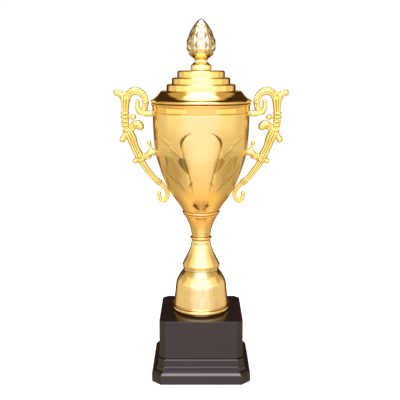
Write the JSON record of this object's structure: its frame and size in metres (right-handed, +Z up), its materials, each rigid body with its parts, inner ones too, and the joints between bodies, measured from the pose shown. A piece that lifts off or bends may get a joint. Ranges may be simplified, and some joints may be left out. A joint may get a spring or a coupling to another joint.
{
  "type": "cup trophy",
  "caption": "Gold cup trophy with a stepped lift-off lid, bud finial, openwork scroll handles, turned stem and square black plinth.",
  "frame": {"origin": "on the floor under the middle of the plinth", "axes": "+Z up along the stem, +X towards the right handle, the front faces -Y"},
  "size_m": [0.175, 0.1012, 0.3622],
  "materials": {
    "bright_gold": "polished gold plate",
    "satin_gold": "satin gold plate with an engraved pattern",
    "cast_gold": "gold plated casting",
    "champagne": "metallised and faceted",
    "black_plastic": "gloss black moulding",
    "zinc_steel": "zinc plated",
    "cast_iron": "rough casting",
    "amber_plastic": "moulded",
    "fibre_board": "pressed fibre board",
    "pad_rubber": "matte"
  },
  "bodies": {
    "trophy": {"plinth_skirt": "black_plastic", "plinth_block": "black_plastic", "base_weight": "cast_iron", "base_board": "fibre_board", "foot_pad_1": "pad_rubber", "foot_pad_2": "pad_rubber", "foot_pad_3": "pad_rubber", "foot_pad_4": "pad_rubber", "tie_rod": "zinc_steel", "rod_washer_bottom": "zinc_steel", "rod_nut_bottom": "zinc_steel", "rod_washer_top": "zinc_steel", "rod_nut_top": "zinc_steel", "foot_ring": "bright_gold", "bell": "bright_gold", "stem_cone": "bright_gold", "lower_bead": "bright_gold", "neck": "satin_gold", "upper_bead": "bright_gold", "bowl": "satin_gold", "left_handle": "cast_gold", "right_handle": "cast_gold", "handle_screw_left_upper": "zinc_steel", "handle_washer_left_upper": "zinc_steel", "handle_screw_left_lower": "zinc_steel", "handle_washer_left_lower": "zinc_steel", "handle_screw_right_upper": "zinc_steel", "handle_washer_right_upper": "zinc_steel", "handle_screw_right_lower": "zinc_steel", "handle_washer_right_lower": "zinc_steel"},
    "lid_ring": {"lid_locating_ring": "amber_plastic"},
    "lid": {"lid_shell": "bright_gold", "finial_collar": "bright_gold", "finial_calyx": "bright_gold", "finial_bud": "champagne", "finial_stud": "zinc_steel", "finial_washer": "zinc_steel", "finial_nut": "zinc_steel"}
  },
  "joints": [
    {"name": "lid_lift", "type": "slide", "parent": "trophy", "child": "lid_ring", "axis": [0, 0, 1], "range_m": [0, 0.08]},
    {"name": "lid_turn", "type": "hinge", "parent": "lid_ring", "child": "lid", "pos_m": [0, 0, 0.2806], "axis": [0, 0, 1], "continuous": true}
  ]
}
